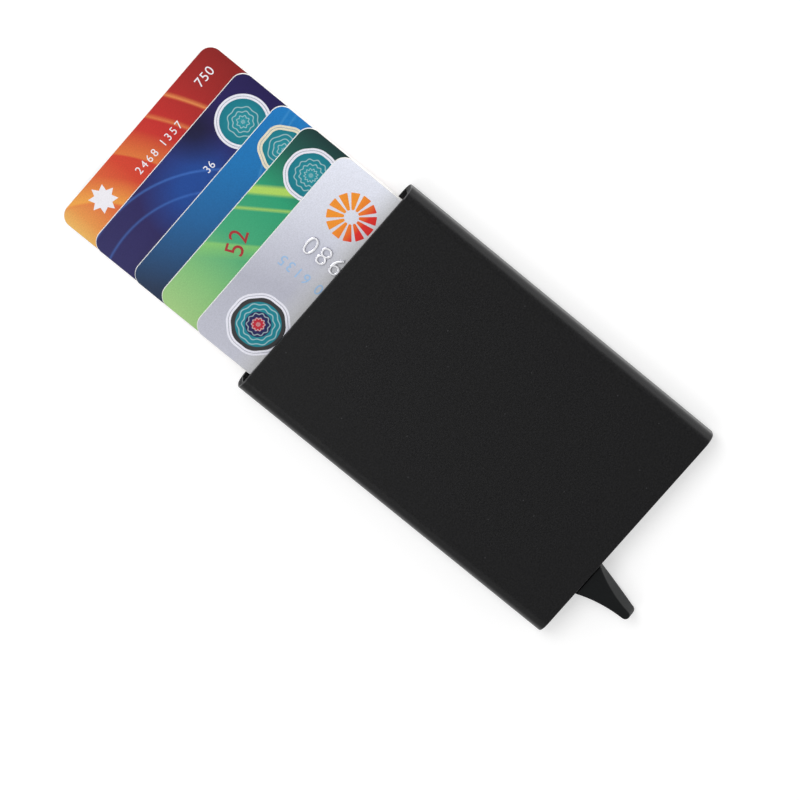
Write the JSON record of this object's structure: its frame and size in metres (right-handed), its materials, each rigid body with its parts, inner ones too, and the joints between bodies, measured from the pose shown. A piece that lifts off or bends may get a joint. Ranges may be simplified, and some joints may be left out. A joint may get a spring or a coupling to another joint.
{
  "type": "pop-up card holder",
  "caption": "Flat aluminium card holder: an extruded sleeve with a thumb lever in its foot that fans the cards out of its mouth in steps.",
  "frame": {"origin": "centre of the flat back face of the sleeve, on the surface it lies on", "axes": "+Y along the sleeve towards the mouth, +X across it, +Z out of the front face"},
  "size_m": [0.062, 0.164, 0.008],
  "materials": {
    "case_aluminium": "black anodised, fine bead blast",
    "cap_plastic": "moulded, matt",
    "pin_steel": "bright drawn",
    "lever_plastic": "moulded, satin",
    "strip_pile": "short woven pile",
    "card_red_print": "laminated print",
    "card_indigo_print": "laminated print",
    "card_blue_print": "laminated print",
    "card_green_print": "laminated print",
    "card_silver_print": "satin pearl print",
    "chip_contacts": "gold-plated"
  },
  "bodies": {
    "case": {"case_tube": "case_aluminium", "end_cap": "cap_plastic", "hinge_pin": "pin_steel", "side_strip_left": "strip_pile", "side_strip_right": "strip_pile"},
    "lever_body": {"lever": "lever_plastic"},
    "red_body": {"card_red": "card_red_print", "chip_red": "chip_contacts"},
    "indigo_body": {"card_indigo": "card_indigo_print", "chip_indigo": "chip_contacts"},
    "blue_body": {"card_blue": "card_blue_print", "chip_blue": "chip_contacts"},
    "green_body": {"card_green": "card_green_print", "chip_green": "chip_contacts"},
    "silver_body": {"card_silver": "card_silver_print", "chip_silver": "chip_contacts"}
  },
  "joints": [
    {"name": "lever_hinge", "type": "hinge", "parent": "case", "child": "lever_body", "pos_m": [-0.015, -0.0421, 0.004], "axis": [0, 0, 1], "range_deg": [-68, 0]},
    {"name": "red_slide", "type": "slide", "parent": "case", "child": "red_body", "axis": [0, 1, 0], "range_m": [-0.057, 0]},
    {"name": "indigo_slide", "type": "slide", "parent": "case", "child": "indigo_body", "axis": [0, 1, 0], "range_m": [-0.0475, 0]},
    {"name": "blue_slide", "type": "slide", "parent": "case", "child": "blue_body", "axis": [0, 1, 0], "range_m": [-0.0359, 0]},
    {"name": "green_slide", "type": "slide", "parent": "case", "child": "green_body", "axis": [0, 1, 0], "range_m": [-0.028, 0]},
    {"name": "silver_slide", "type": "slide", "parent": "case", "child": "silver_body", "axis": [0, 1, 0], "range_m": [-0.0175, 0]}
  ],
  "couplings": [
    {"joint": "red_slide", "follows": "lever_hinge", "m_per_rad": 0.048027},
    {"joint": "indigo_slide", "follows": "lever_hinge", "m_per_rad": 0.040022},
    {"joint": "blue_slide", "follows": "lever_hinge", "m_per_rad": 0.030248},
    {"joint": "green_slide", "follows": "lever_hinge", "m_per_rad": 0.023592},
    {"joint": "silver_slide", "follows": "lever_hinge", "m_per_rad": 0.014745}
  ]
}
